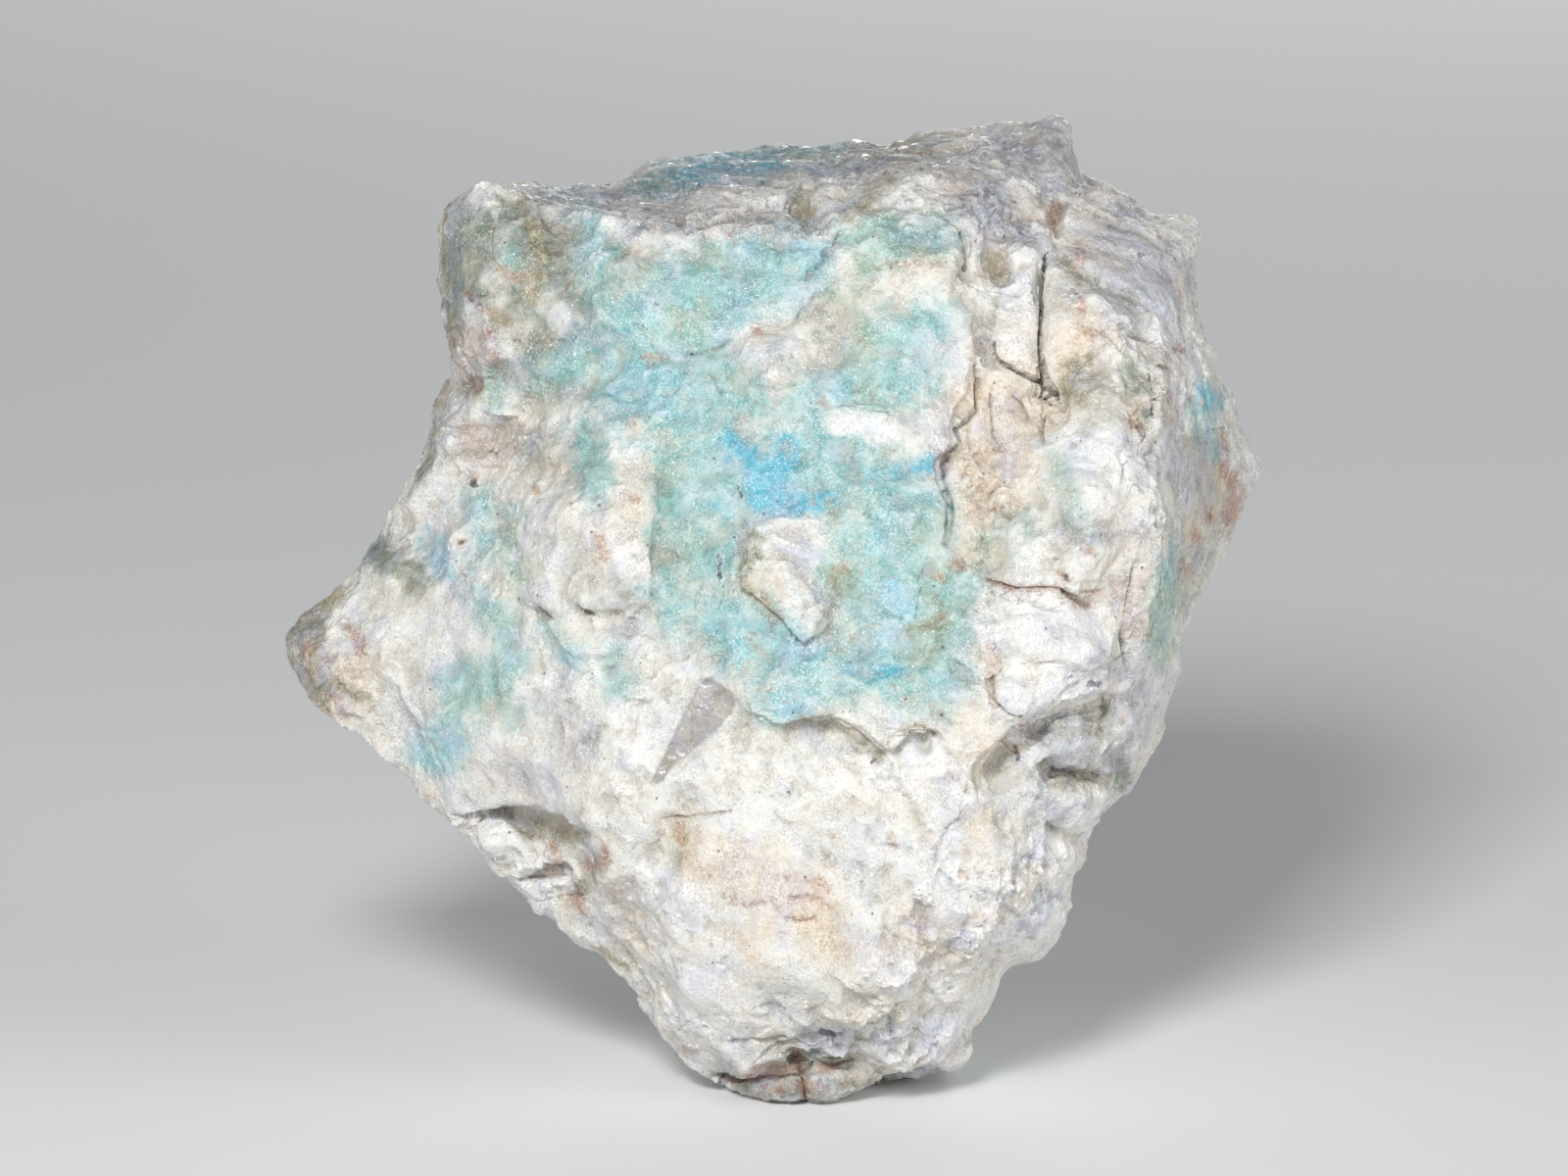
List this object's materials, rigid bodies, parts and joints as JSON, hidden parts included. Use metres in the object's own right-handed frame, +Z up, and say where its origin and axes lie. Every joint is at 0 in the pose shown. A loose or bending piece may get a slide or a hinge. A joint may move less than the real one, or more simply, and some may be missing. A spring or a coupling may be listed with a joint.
{
  "type": "montebrasite specimen",
  "caption": "Rough broken hand specimen of montebrasite: a craggy white and pale green lump with turquoise-blue zones, cracks and ledges, standing on a small flat spot.",
  "frame": {"origin": "on the surface the stone stands on, under the middle of its bounding box", "axes": "+Z up; the face with the blue-green plate looks towards -Y, leaning back 12 degrees; +X to that face's right"},
  "size_m": [0.1, 0.0796, 0.0939],
  "materials": {
    "montebrasite": "rough broken stone"
  },
  "bodies": {
    "root": {"stone": "montebrasite"}
  },
  "joints": []
}
